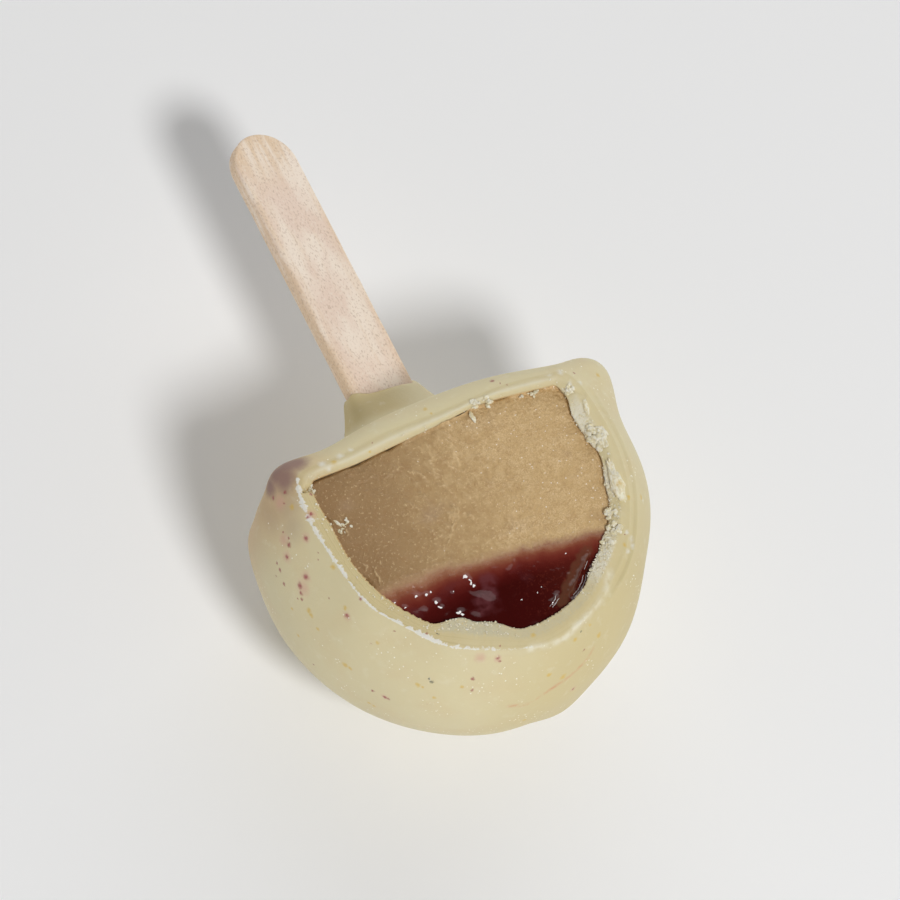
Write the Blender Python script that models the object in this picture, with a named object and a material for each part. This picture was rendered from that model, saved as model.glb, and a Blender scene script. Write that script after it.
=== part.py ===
"""A ball-shaped ice lolly on a flat wooden stick, dipped in a pale coating and sliced open along one side.

It lies on its back with the slice facing up. Metres, +Z up. The origin is in the middle of the small flat
spot that it rests on, under the middle of the ball, and +Y runs along the stick to its free end.
"""

import math

import bmesh
import bpy
from mathutils import Vector, noise

# The ball, measured outside its coating
BALL_RADIUS = 0.0270
BALL_HALF_LENGTH = 0.0293
REST_DEPTH = 0.0008
BALL_MIDDLE = Vector((0.0, 0.0, BALL_RADIUS - REST_DEPTH))
COATING = 0.0023
GAP = 0.0003

# The domed top that the stick goes in by, as heights from the ball's middle along the stick
TOP_HEIGHT = 0.0156
TOP_DOME = 0.0053
FILLING_TOP = 0.0101
FILLING_DOME = 0.0025
FILLING_ROUNDING = 0.0010
RIM_ROUNDING = 0.0025
LIP_FALL = 0.0023
LIP_REACH = 0.0030
LIP_END = 1.3

# The slice, level with the floor at a height above the ball's middle, and the ice cream's scraped face
SLICE_HEIGHT = 0.0156
SUNK = 0.0007
SCRAPE_DEPTH = 0.00030
RIDGE_PITCH = 0.0018
RIDGE_LENGTH = 0.0056
RIDGE_SLANT = math.radians(27)
CHIP_DEPTH = 0.00015
CHIP_PITCH = 0.0024

# The line where the sauce begins, along the stick from the ball's middle: its level at X = 0, its slope
# and bow across, and its waves
SAUCE_LEVEL = -0.0107
SAUCE_SLOPE = -0.11
SAUCE_BOW = -5.0
SAUCE_WAVE = 0.0003
SAUCE_WAVE_PITCH = 0.0095

# The flat stick
STICK_WIDTH = 0.0102
STICK_THICKNESS = 0.0024
STICK_LENGTH = 0.0710
STICK_TIP = 0.0637
STICK_ROLL = math.radians(19)
STICK_EDGE = 0.0004
STICK_END_STEPS = 14

# The collar of coating that was drawn up the stick
COLLAR_HEIGHT = 0.0064
COLLAR_LIP = 0.0008
COLLAR_SPREAD = 0.0048
COLLAR_STEEPNESS = 1.8
COLLAR_SQUARENESS = 0.6
COLLAR_DIP = 0.15
COLLAR_DIP_TURN = math.radians(15)
COLLAR_RIPPLE = 0.02
COLLAR_CLOSE = 1.04

# Fineness of the meshes. Rings lie between the lower pole, 0, and the top's middle, 1
AROUND = 64
COATING_RINGS = (0.01, 0.74, 24)
SHOULDER_STEPS = 5
COLLAR_STEPS = 6
FILLING_AROUND = 48
FILLING_SIDE_RINGS = (0.015, 0.580, 11)
FILLING_RIM_RINGS = (0.591, 0.606, 2)
FILLING_TOP_RINGS = (0.660, 0.980, 5)
CUT_CELL = 0.0017
REACH = 0.034
SMOOTH_UP_TO = math.radians(40)

# Lumps of the coating: angle round the stick from straight up towards +X, distance out from the stick's
# axis, distance along it from the ball's middle, height, and reach
LUMPS = (
    (math.radians(72), 0.0258, 0.0092, 0.0033, 0.0050),
    (math.radians(-60), 0.0223, 0.0123, 0.0028, 0.0036),
    (math.radians(-97), 0.0255, 0.0085, 0.0002, 0.0055),
    (math.radians(-73), 0.0252, 0.0104, 0.0009, 0.0042),
    (math.radians(-53), 0.0268, -0.0030, -0.0006, 0.0070),
    (math.radians(-47), 0.0234, -0.0150, -0.0008, 0.0055),
    (math.radians(-24), 0.0185, -0.0212, -0.0004, 0.0050),
    (math.radians(76), 0.0266, -0.0050, 0.0006, 0.0090),
    (math.radians(88), 0.0204, -0.0192, -0.0005, 0.0080),
    (math.radians(153), 0.0100, -0.0270, 0.0011, 0.0045),
    (math.radians(-140), 0.0133, -0.0255, -0.0004, 0.0060),
    (math.radians(-110), 0.0268, -0.0033, 0.0003, 0.0070),
    (math.radians(128), 0.0255, 0.0090, 0.0009, 0.0060),
    (math.radians(-146), 0.0258, 0.0080, 0.0008, 0.0065),
    (math.radians(180), 0.0262, -0.0070, 0.0006, 0.0080),
)
WAVINESS = 0.00035
WAVE_LENGTH = 0.0110


def clear_scene():
    for thing in list(bpy.data.objects):
        bpy.data.objects.remove(thing)


def material(name, colour, roughness):
    made = bpy.data.materials.new(name)
    made.use_nodes = True
    shader = made.node_tree.nodes["Principled BSDF"]
    shader.inputs["Base Color"].default_value = (*colour, 1.0)
    shader.inputs["Roughness"].default_value = roughness
    shader.inputs["Metallic"].default_value = 0.0
    return made


def add_object(name, mesh, finish=None):
    """Makes an object of a closed bmesh, with its faces pointing out."""
    bmesh.ops.recalc_face_normals(mesh, faces=mesh.faces)
    data = bpy.data.meshes.new(name)
    mesh.to_mesh(data)
    mesh.free()
    made = bpy.data.objects.new(name, data)
    bpy.context.scene.collection.objects.link(made)
    if finish:
        data.materials.append(finish)
    else:
        made.hide_render = True
        made.display_type = "WIRE"
    return made


def loft(name, rings, finish=None):
    """A closed form through rings of as many points each, with a fan over either end."""
    mesh = bmesh.new()
    loops = [[mesh.verts.new(point) for point in ring] for ring in rings]
    for near, far in zip(loops, loops[1:]):
        for i in range(len(near)):
            j = (i + 1) % len(near)
            mesh.faces.new((near[i], near[j], far[j], far[i]))
    for ring, loop in ((rings[0], loops[0]), (rings[-1], loops[-1])):
        middle = mesh.verts.new(sum(ring, Vector()) / len(ring))
        for i in range(len(loop)):
            mesh.faces.new((middle, loop[i], loop[(i + 1) % len(loop)]))
    return add_object(name, mesh, finish)


def slab(name, place, sheet, far, cell):
    """A cutter between a wavy sheet over a square of REACH each way and a flat face at the level far."""
    mesh = bmesh.new()
    steps = round(2 * REACH / cell)
    marks = [REACH * (2 * i / steps - 1) for i in range(steps + 1)]
    low, high = marks[0], marks[-1]
    rows = [[mesh.verts.new(place(u, v, sheet(u, v))) for v in marks] for u in marks]
    for near, after in zip(rows, rows[1:]):
        for i in range(steps):
            mesh.faces.new((near[i], near[i + 1], after[i + 1], after[i]))
    edge = (
        [(low, v) for v in marks]
        + [(u, high) for u in marks[1:]]
        + [(high, v) for v in reversed(marks[:-1])]
        + [(u, low) for u in reversed(marks[1:-1])]
    )
    rim = rows[0] + [row[-1] for row in rows[1:]] + rows[-1][-2::-1] + [row[0] for row in rows[-2:0:-1]]
    back = [mesh.verts.new(place(u, v, far)) for u, v in edge]
    for i in range(len(rim)):
        j = (i + 1) % len(rim)
        mesh.faces.new((rim[i], rim[j], back[j], back[i]))
    mesh.faces.new(back)
    return add_object(name, mesh)


def cut(target, cutter):
    """Takes the cutter out of the target, and removes the cutter."""
    step = target.modifiers.new("cut", "BOOLEAN")
    step.operation = "DIFFERENCE"
    step.solver = "EXACT"
    step.object = cutter
    bpy.context.view_layer.update()
    evaluated = target.evaluated_get(bpy.context.evaluated_depsgraph_get())
    done = bpy.data.meshes.new_from_object(evaluated)
    target.modifiers.remove(step)
    target.data = done
    bpy.data.objects.remove(cutter)


def soft_least(a, b, softness):
    """The lesser of two lengths, with the corner between them rounded."""
    share = max(softness - abs(a - b), 0.0) / softness
    return min(a, b) - share * share * softness / 4


def unevenness(x, y, z):
    """How far the coating stands proud of a true ball at a point of it, from its lumps and its waviness."""
    proud = WAVINESS * noise.noise(Vector((x, y, z)) / WAVE_LENGTH)
    for angle, out, along, height, reach in LUMPS:
        top = Vector((out * math.sin(angle), along, out * math.cos(angle)))
        away = (Vector((x, y, z)) - top).length / reach
        proud += height * math.exp(-away * away)
    return proud


def coating_top(x, z):
    """The coating's domed top, which rounds over like a lip where the slice comes near."""
    lip = min(max(z - SLICE_HEIGHT + LIP_REACH, 0.0) / LIP_REACH, LIP_END)
    fall = LIP_FALL * (1 - (x / BALL_RADIUS) ** 2) * lip * lip
    return TOP_HEIGHT - TOP_DOME * (x * x + z * z) / BALL_RADIUS**2 - fall


def coating_point(x, z, side):
    """A point of the coating's outside, given how far along the stick a true ball's side is there."""
    point = Vector((x, soft_least(side, coating_top(x, z), RIM_ROUNDING), z))
    return BALL_MIDDLE + point + point.normalized() * unevenness(*point)


def coating_ring(step):
    """A ring of the coating's outside. Step 0 is the lower pole and 1 the top's middle."""
    latitude = math.pi * (step - 0.5)
    radius = BALL_RADIUS * math.cos(latitude)
    turns = [2 * math.pi * i / AROUND for i in range(AROUND)]
    side = BALL_HALF_LENGTH * math.sin(latitude)
    return [coating_point(radius * math.sin(turn), radius * math.cos(turn), side) for turn in turns]


def shoulder_ring(rim, foot, share):
    """A ring on the coating's top, between its rim and the foot of the collar."""
    ring = []
    for outer, inner in zip(rim, foot):
        x, _, z = outer.lerp(inner, share) - BALL_MIDDLE
        ring.append(coating_point(x, z, TOP_HEIGHT + RIM_ROUNDING))
    return ring


def filling_ring(step, inset):
    """A ring of the filling's side, at a depth below the coating's outside."""
    latitude = math.pi * (step - 0.5)
    ring = []
    for i in range(FILLING_AROUND):
        angle = 2 * math.pi * i / FILLING_AROUND
        x = (BALL_RADIUS - inset) * math.cos(latitude) * math.sin(angle)
        z = (BALL_RADIUS - inset) * math.cos(latitude) * math.cos(angle)
        top = FILLING_TOP + COATING - inset - FILLING_DOME * (x * x + z * z) / BALL_RADIUS**2
        along = soft_least((BALL_HALF_LENGTH - inset) * math.sin(latitude), top, FILLING_ROUNDING)
        ring.append(BALL_MIDDLE + Vector((x, along, z)))
    return ring


def rolled(across, along, up):
    """A point of the stick from its own width, length and thickness, turned by the stick's roll."""
    x = across * math.cos(STICK_ROLL) + up * math.sin(STICK_ROLL)
    z = up * math.cos(STICK_ROLL) - across * math.sin(STICK_ROLL)
    return BALL_MIDDLE + Vector((x, along, z))


def collar_ring(clear, height):
    """A ring round the stick, clear of it as a rounded oblong, and at a ragged height above the top."""
    ring = []
    for i in range(AROUND):
        angle = 2 * math.pi * i / AROUND + STICK_ROLL
        sine, cosine = math.sin(angle), math.cos(angle)
        across = math.copysign(abs(sine) ** COLLAR_SQUARENESS, sine) * (STICK_WIDTH / 2 + clear)
        up = math.copysign(abs(cosine) ** COLLAR_SQUARENESS, cosine) * (STICK_THICKNESS / 2 + clear)
        dip = COLLAR_DIP * max(math.cos(angle - COLLAR_DIP_TURN), 0.0) ** 2
        ragged = 1 - dip + COLLAR_RIPPLE * math.sin(5 * angle)
        point = rolled(across, 0.0, up)
        point.y = coating_top(point.x, point.z - BALL_MIDDLE.z) + height * ragged
        ring.append(point)
    return ring


def spaced(first, last, steps):
    """Numbers from the first to the last in equal steps."""
    return [first + (last - first) * i / steps for i in range(steps + 1)]


def outer_rings():
    """The outside of the coating, from the lower pole over the rim and up the collar."""
    rings = [coating_ring(step) for step in spaced(*COATING_RINGS)]
    rim = rings[-1]
    foot = collar_ring(COLLAR_SPREAD, 0.0)
    rings += [shoulder_ring(rim, foot, i / SHOULDER_STEPS) for i in range(1, SHOULDER_STEPS)]
    for share in spaced(0.0, 1.0, COLLAR_STEPS):
        clear = COLLAR_SPREAD + (COLLAR_LIP - COLLAR_SPREAD) * share
        rings.append(collar_ring(clear, COLLAR_HEIGHT * share**COLLAR_STEEPNESS))
    rings.append(collar_ring(COLLAR_LIP / 2, COLLAR_HEIGHT * COLLAR_CLOSE))
    return rings


def filling_form(name, inset, finish=None):
    """The whole filling as one form, at a depth below the coating's outside."""
    steps = spaced(*FILLING_SIDE_RINGS) + spaced(*FILLING_RIM_RINGS) + spaced(*FILLING_TOP_RINGS)
    return loft(name, [filling_ring(step, inset) for step in steps], finish)


def stick_body(name, clear, finish=None):
    """The flat stick with half-round ends, or its slot when clear is above nothing."""
    mesh = bmesh.new()
    radius = STICK_WIDTH / 2 + clear
    tip = STICK_TIP - STICK_WIDTH / 2
    foot = STICK_TIP - STICK_LENGTH + STICK_WIDTH / 2
    outline = []
    for angle in spaced(0.0, math.pi, STICK_END_STEPS):
        outline.append((radius * math.cos(angle), tip + radius * math.sin(angle)))
    for angle in spaced(math.pi, 2 * math.pi, STICK_END_STEPS):
        outline.append((radius * math.cos(angle), foot + radius * math.sin(angle)))
    up = STICK_THICKNESS / 2 + clear
    base = [mesh.verts.new(rolled(across, along, -up)) for across, along in outline]
    lid = [mesh.verts.new(rolled(across, along, up)) for across, along in outline]
    mesh.faces.new(base)
    mesh.faces.new(lid)
    for i in range(len(base)):
        j = (i + 1) % len(base)
        mesh.faces.new((base[i], base[j], lid[j], lid[i]))
    if not clear:
        rims = [edge for edge in mesh.edges if any(len(face.verts) > 4 for face in edge.link_faces)]
        bmesh.ops.bevel(mesh, geom=rims, offset=STICK_EDGE, segments=2, profile=0.5, affect="EDGES")
    return add_object(name, mesh, finish)


def upright(u, v, level):
    """A place for a slab that cuts from above or below."""
    return BALL_MIDDLE + Vector((u, v, level))


def lengthwise(u, v, level):
    """A place for a slab that cuts across the stick's direction."""
    return BALL_MIDDLE + Vector((u, level, v))


def scraped(x, y):
    """The filling's cut face: scraped in slanting ridges and sunk, more so towards +X."""
    across = x * math.cos(RIDGE_SLANT) + y * math.sin(RIDGE_SLANT)
    along = y * math.cos(RIDGE_SLANT) - x * math.sin(RIDGE_SLANT)
    ridges = noise.noise(Vector((across / RIDGE_PITCH, along / RIDGE_LENGTH, 0.0)))
    return SLICE_HEIGHT - SUNK * (1 + max(x, 0.0) / BALL_RADIUS) + SCRAPE_DEPTH * ridges


def coating_cut(x, y):
    """The coating's cut edge, a little chipped."""
    return SLICE_HEIGHT + CHIP_DEPTH * noise.noise(Vector((x, y, 0.0)) / CHIP_PITCH)


def sauce_line(x, _):
    """How far along the stick the sauce ends and the ice cream begins, the same at any height."""
    wave = SAUCE_WAVE * math.sin(2 * math.pi * x / SAUCE_WAVE_PITCH)
    return SAUCE_LEVEL + SAUCE_SLOPE * x + SAUCE_BOW * x * x + wave


def build_stick():
    wood = material("wood", (0.62, 0.47, 0.35), 0.75)
    stick_body("stick", 0.0, wood)


def build_coating():
    pale = material("coating", (0.62, 0.54, 0.36), 0.45)
    shell = loft("coating", outer_rings(), pale)
    cut(shell, filling_form("hollow", COATING))
    cut(shell, slab("slice", upright, coating_cut, REACH, CUT_CELL))
    cut(shell, stick_body("slot", GAP))
    cut(shell, slab("floor", upright, lambda x, y: -BALL_MIDDLE.z, -REACH, 2 * REACH))
    shell.data.shade_smooth()
    shell.data.set_sharp_from_angle(angle=SMOOTH_UP_TO)


def build_ice_cream():
    caramel = material("ice_cream", (0.40, 0.27, 0.14), 0.6)
    filling = filling_form("ice_cream", COATING + GAP, caramel)
    cut(filling, slab("slice", upright, scraped, REACH, CUT_CELL))
    cut(filling, slab("pole", lengthwise, lambda x, z: sauce_line(x, z) + GAP / 2, -REACH, 2 * CUT_CELL))
    cut(filling, stick_body("slot", GAP))


def build_sauce():
    berry = material("berry_sauce", (0.055, 0.005, 0.004), 0.15)
    layer = filling_form("berry_sauce", COATING + GAP, berry)
    cut(layer, slab("slice", upright, scraped, REACH, CUT_CELL))
    cut(layer, slab("top", lengthwise, lambda x, z: sauce_line(x, z) - GAP / 2, REACH, 2 * CUT_CELL))


clear_scene()
build_stick()
build_coating()
build_ice_cream()
build_sauce()
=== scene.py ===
import math

import bmesh
import bpy
import numpy as np
from mathutils import Matrix, Vector, noise
from mathutils.bvhtree import BVHTree


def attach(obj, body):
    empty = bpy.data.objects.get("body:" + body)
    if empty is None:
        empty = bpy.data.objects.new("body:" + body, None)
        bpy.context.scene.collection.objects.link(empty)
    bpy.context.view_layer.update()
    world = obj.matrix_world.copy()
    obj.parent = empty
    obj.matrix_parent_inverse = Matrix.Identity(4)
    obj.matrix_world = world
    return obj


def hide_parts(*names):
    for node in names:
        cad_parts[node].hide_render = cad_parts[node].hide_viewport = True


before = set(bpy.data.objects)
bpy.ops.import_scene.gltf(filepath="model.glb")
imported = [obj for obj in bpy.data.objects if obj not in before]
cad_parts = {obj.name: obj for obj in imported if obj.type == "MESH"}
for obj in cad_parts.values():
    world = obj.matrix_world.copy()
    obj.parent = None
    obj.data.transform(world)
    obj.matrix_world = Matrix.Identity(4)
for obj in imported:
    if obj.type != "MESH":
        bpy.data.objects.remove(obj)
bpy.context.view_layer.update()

# The view of the photograph. The camera looks down at the slice from the lolly's lower left, half a metre
# away, through a long lens, and the lolly lies on its back with the slice facing up.
BALL_MIDDLE = Vector((0.0, 0.0, 0.0262))
SIGHT_RIGHT = Vector((0.883, -0.444, 0.154)).normalized()
SIGHT_BACK = Vector((-0.293, -0.265, 0.919)).normalized()
SIGHT_UP = SIGHT_BACK.cross(SIGHT_RIGHT).normalized()
SIGHT_RIGHT = SIGHT_UP.cross(SIGHT_BACK)
AIM_RIGHT = 0.00013
AIM_UP = 0.01045
DISTANCE = 0.5
LENS = 146.0
SENSOR = 36.0
PHOTO_SIDE = 900
PIXEL_ANGLE = SENSOR / LENS / PHOTO_SIDE
PIXEL = PIXEL_ANGLE * DISTANCE


def added(name, data):
    """Puts a mesh, a light or the camera into the scene."""
    made = bpy.data.objects.new(name, data)
    bpy.context.scene.collection.objects.link(made)
    return made


eye = BALL_MIDDLE + AIM_RIGHT * SIGHT_RIGHT + AIM_UP * SIGHT_UP + DISTANCE * SIGHT_BACK
camera = added("camera", bpy.data.cameras.new("camera"))
camera.data.lens = LENS
camera.data.sensor_width = SENSOR
camera.data.clip_start = 0.01
turned = Matrix((SIGHT_RIGHT, SIGHT_UP, SIGHT_BACK)).transposed().to_4x4()
camera.matrix_world = Matrix.Translation(eye) @ turned
bpy.context.scene.camera = camera


def sight_line(across, down):
    """The direction in which the camera sees a pixel of the photograph."""
    right = (across - PHOTO_SIDE / 2) * PIXEL_ANGLE
    up = (PHOTO_SIDE / 2 - down) * PIXEL_ANGLE
    return (SIGHT_RIGHT * right + SIGHT_UP * up - SIGHT_BACK).normalized()


# The stick is a flat birch spatula stick, sanded, with half-round ends and soft arrises. It was pushed into
# the ball before the ball was dipped, and it lies a little turned about its own length.
STICK_WIDTH = 0.0102
STICK_THICKNESS = 0.0024
STICK_LENGTH = 0.0710
STICK_TIP = 0.0637
STICK_ROLL = math.radians(19)
STICK_ARRIS = 0.00042
STICK_INSETS = (0.0, 0.00004, 0.00014, 0.00027, 0.00042, 0.00062, 0.0009, 0.0013, 0.0019, 0.0027)
STICK_TURNS = 40
STICK_SIDES = 90
STICK_WOBBLE = 0.00006
STICK_WOBBLE_PITCH = 0.005
STICK_EDGE_FADE = 0.0008


def tint(red, green, blue):
    """A colour for a shader, from the red, green and blue that a screen shows it with."""
    parts = []
    for part in (red, green, blue):
        part /= 255
        parts.append(part / 12.92 if part <= 0.04045 else ((part + 0.055) / 1.055) ** 2.4)
    return (*parts, 1.0)


def wire(place, value):
    """Puts a number, a colour or another node's outcome on a socket."""
    if isinstance(value, Amount):
        place.id_data.links.new(value.socket, place)
    else:
        place.default_value = value


class Amount:
    """Something that changes over a surface, and that sums with others as a number does."""

    def __init__(self, socket):
        self.socket = socket

    def worked(self, operation, *others):
        node = self.socket.id_data.nodes.new("ShaderNodeMath")
        node.operation = operation
        for place, value in zip(node.inputs, (self, *others)):
            wire(place, value)
        return Amount(node.outputs[0])

    def __add__(self, other):
        return self.worked("ADD", other)

    def __mul__(self, other):
        return self.worked("MULTIPLY", other)

    def __sub__(self, other):
        return self.worked("SUBTRACT", other)

    def __rsub__(self, other):
        return self.worked("MULTIPLY", -1.0).worked("ADD", other)

    def least(self, other):
        return self.worked("MINIMUM", other)

    def most(self, other):
        return self.worked("MAXIMUM", other)

    __radd__ = __add__
    __rmul__ = __mul__


class Finish:
    """A material, or the room's air, under one shader whose steady values are set on it first."""

    def __init__(self, name, steady, store=bpy.data.materials, shader="Principled BSDF", place="Object"):
        self.made = store.new(name)
        self.made.use_nodes = True
        self.tree = self.made.node_tree
        self.shader = self.tree.nodes[shader]
        self.wear(steady)
        self.place = self.node("TexCoord", out=place)

    def wear(self, values):
        """Puts values on the shader, steady ones or ones that change over the surface."""
        for key, value in values.items():
            wire(self.shader.inputs[key], value)

    def node(self, kind, settings=None, sockets=None, out=0):
        """Adds a node of a kind, with its settings made first and its sockets filled after."""
        node = self.tree.nodes.new("ShaderNode" + kind)
        for key, value in (settings or {}).items():
            if key == "stops":
                for count, (at, colour) in enumerate(value):
                    stops = node.color_ramp.elements
                    stop = stops[count] if count < 2 else stops.new(at)
                    stop.position = at
                    stop.color = colour
            else:
                setattr(node, key, value)
        for key, value in (sockets or {}).items():
            wire(node.inputs[key], value)
        return Amount(node.outputs[out])

    def painted(self, colour, *layers):
        """A colour with others laid over it in turn, each by its share."""
        for over, share in layers:
            settings = {"data_type": "RGBA", "clamp_factor": True}
            colour = self.node("Mix", settings, {"Factor": share, 6: colour, 7: over}, out=2)
        return colour

    def vector(self, operation, one, other, out=0):
        return self.node("VectorMath", {"operation": operation}, {0: one, 1: other}, out)

    def axis(self, name):
        """How far along X, Y or Z a place is."""
        return self.node("SeparateXYZ", None, {0: self.place}, name)

    def mottle(self, size, detail=2.0, place=None, wander=0.0):
        """A soft mottling about 0.5, as big as its size in metres."""
        sockets = {"Vector": place or self.place, "Scale": 1 / size, "Detail": detail, "Distortion": wander}
        return self.node("TexNoise", None, sockets)

    def cells(self, size, place=None):
        """How far places are from the nearest of many scattered dots, in dot spacings."""
        return self.node("TexVoronoi", None, {"Vector": place or self.place, "Scale": 1 / size}, "Distance")

    def step(self, value, low, high):
        """0 where a value is under low and 1 where it is over high, with a soft step between."""
        sockets = {"Value": value, "From Min": low, "From Max": high}
        return self.node("MapRange", {"interpolation_type": "SMOOTHSTEP"}, sockets)

    def marked(self, name):
        """A value that was written on the piece's own points."""
        return self.node("Attribute", {"attribute_name": name}, out="Fac")

    def bump(self, height, distance):
        return self.node("Bump", None, {"Height": height, "Distance": distance})


def rolled(across, along, up):
    """A point of the stick from its own width, length and thickness, turned by the stick's roll."""
    x = across * math.cos(STICK_ROLL) + up * math.sin(STICK_ROLL)
    z = up * math.cos(STICK_ROLL) - across * math.sin(STICK_ROLL)
    return BALL_MIDDLE + Vector((x, along, z))


def make_piece(name, points, faces, finish, marks=None):
    """A smooth mesh of points and faces, with marks on its points for its finish to read."""
    mesh = bpy.data.meshes.new(name)
    mesh.from_pydata([tuple(point) for point in points], [], faces)
    mesh.materials.append(finish.made)
    for mark, values in (marks or {}).items():
        layer = mesh.attributes.new(mark, "FLOAT", "POINT")
        layer.data.foreach_set("value", np.asarray(values, dtype=np.float32))
    mesh.shade_smooth()
    made = added(name, mesh)
    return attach(made, "root")


def ring_faces(first, second, count):
    """Faces between two rings of as many points, from the number of each ring's first point."""
    faces = []
    for i in range(count):
        j = (i + 1) % count
        faces.append((first + i, first + j, second + j, second + i))
    return faces


def stick_outline(inset):
    """The stick's outline drawn in by an inset, as places across and along it."""
    radius = STICK_WIDTH / 2 - inset
    tip = STICK_TIP - STICK_WIDTH / 2
    foot = STICK_TIP - STICK_LENGTH + STICK_WIDTH / 2
    turns = [math.pi * i / STICK_TURNS for i in range(STICK_TURNS)]
    runs = [(tip - foot) * i / STICK_SIDES for i in range(STICK_SIDES)]
    outline = [(radius * math.cos(turn), tip + radius * math.sin(turn)) for turn in turns]
    outline += [(-radius, tip - run) for run in runs]
    outline += [(-radius * math.cos(turn), foot - radius * math.sin(turn)) for turn in turns]
    return outline + [(radius, foot + run) for run in runs]


def stick_ring(inset, side):
    """A ring of the stick's upper or under half, with the wobble that sanding leaves."""
    drop = max(STICK_ARRIS - inset, 0.0)
    up = STICK_THICKNESS / 2 - STICK_ARRIS + math.sqrt(STICK_ARRIS**2 - drop**2)
    ring = []
    for across, along in stick_outline(inset):
        wobble = noise.noise(Vector((across, along, side * STICK_ARRIS)) / STICK_WOBBLE_PITCH)
        across += math.copysign(STICK_WOBBLE, across) * wobble
        ring.append(rolled(across, along, side * up))
    return ring


stick_levels = [(inset, -1) for inset in reversed(STICK_INSETS)] + [(inset, 1) for inset in STICK_INSETS]
stick_points = []
stick_edges = []
for inset, side in stick_levels:
    ring = stick_ring(inset, side)
    stick_points += ring
    stick_edges += [math.exp(-inset / STICK_EDGE_FADE)] * len(ring)
round_count = len(stick_outline(0.0))
stick_faces = [tuple(reversed(range(round_count)))]
for i in range(len(stick_levels) - 1):
    stick_faces += ring_faces(i * round_count, (i + 1) * round_count, round_count)
stick_faces.append(tuple(range(len(stick_points) - round_count, len(stick_points))))

WOOD_FACE = tint(245, 230, 214)
WOOD_BLUSH = tint(233, 209, 192)
WOOD_SPECK = tint(186, 158, 134)
WOOD_FLECK = tint(240, 228, 214)
WOOD_EDGE = tint(228, 201, 169)
WOOD_TIP_START = 0.0555
WOOD_TIP_END = STICK_TIP + 0.002
WOOD_RELIEF = 0.00006

wood = Finish("birch", {"Roughness": 0.8, "Specular IOR Level": 0.2})
grain, streaks, patches = (
    wood.mottle(size, detail, wood.vector("MULTIPLY", wood.place, (1.0, squeeze, 1.0)))
    for size, detail, squeeze in ((0.00024, 3.0, 0.55), (0.0007, 2.0, 0.07), (0.0042, 2.0, 0.4))
)
near_tip = wood.step(wood.axis("Y") + patches * 0.006, WOOD_TIP_START, WOOD_TIP_END)
tanned = wood.marked("edge").most(near_tip)
wood_colour = wood.painted(
    WOOD_FACE,
    (WOOD_BLUSH, wood.step(patches, 0.42, 0.62) * 0.8),
    (WOOD_EDGE, wood.step(streaks, 0.52, 0.72) * 0.2),
    (WOOD_EDGE, tanned * wood.step(patches + streaks, 0.7, 1.1) * 0.9),
    (WOOD_SPECK, wood.step(grain, 0.52, 0.70) * 0.5),
    (WOOD_FLECK, wood.step(1 - grain, 0.55, 0.72) * 0.6),
)
wood.wear({"Base Color": wood_colour, "Normal": wood.bump(grain * 0.6 + streaks * 0.4, WOOD_RELIEF)})
stick = make_piece("stick_wood", stick_points, stick_faces, wood, {"edge": stick_edges})
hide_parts("stick")


# The filling is a ball of caramel ice cream with a layer of set berry sauce at its lower end. A knife cut it
# with the coating: the ice cream tore and dragged under the blade, and the sauce stayed wet and smooth.
BALL_RADIUS = 0.0270
BALL_HALF_LENGTH = 0.0293
COATING = 0.0023
RIM_ROUNDING = 0.0025
SLICE_HEIGHT = 0.0156
FILLING_TOP = 0.0101
FILLING_DOME = 0.0025
FILLING_ROUNDING = 0.0010
SUNK = 0.0007
FACE_LEVEL = SLICE_HEIGHT - SUNK
SAUCE_LEVEL = -0.0107
SAUCE_SLOPE = -0.11
SAUCE_BOW = -5.0
HEART = -0.0040
HALVINGS = 26
FACE_CELLS = 350
LID_DEPTH = 0.0030
BODY_DEPTH = 0.0024
RIDGE_SLANT = math.radians(27)
SHARP_OVER = math.radians(62)


def soft_least(a, b, softness):
    """The lesser of two lengths, with the corner between them rounded."""
    share = np.maximum(softness - np.abs(a - b), 0.0) / softness
    return np.minimum(a, b) - share * share * softness / 4


def waves(places, pitch, deep=0.0):
    """Noise from -1 to 1 at places, whose waves are as long as the pitch across and along."""
    wide, long = pitch if isinstance(pitch, tuple) else (pitch, pitch)
    scaled = np.asarray(places) / (wide, long, wide)
    return np.array([noise.noise((x, y, z + deep)) for x, y, z in scaled])


def soft_step(value, low, high):
    share = np.clip((value - low) / (high - low), 0.0, 1.0)
    return share * share * (3 - 2 * share)


def bell(away, width, power=2):
    """1 at no distance, falling off over a width."""
    return np.exp(-((away / width) ** power))


def on_ring(turns, reach=1.0, level=0.0, middle=0.0):
    """Places at turns from +X and at a reach from a middle that lies along Y, on a level."""
    return np.stack((reach * np.cos(turns), middle + reach * np.sin(turns), level + 0 * turns), axis=1)


def last_within(near, far, is_within):
    """The last place between near and far that a test holds at, found by halving."""
    for _ in range(HALVINGS):
        middle = (near + far) / 2
        within = is_within(middle)
        near, far = np.where(within, middle, near), np.where(within, far, middle)
    return near


def in_filling(x, y, z, inset):
    """Whether places from the ball's middle lie in the filling, at an inset from the coating's outside."""
    spread = (x * x + z * z) / (BALL_RADIUS - inset) ** 2
    side = (BALL_HALF_LENGTH - inset) * np.sqrt(np.maximum(1 - spread, 0.0))
    top = FILLING_TOP + COATING - inset - FILLING_DOME * (x * x + z * z) / BALL_RADIUS**2
    return (spread < 1) & (y > -side) & (y < soft_least(side, top, FILLING_ROUNDING))


def filling_edge(turns, level, inset):
    """How far the filling's edge is from the heart at a level, at turns counted from +X."""
    def within(reach):
        return in_filling(reach * np.cos(turns), HEART + reach * np.sin(turns), level, inset)

    return last_within(np.zeros_like(turns), np.full_like(turns, 2 * BALL_RADIUS), within)


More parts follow.
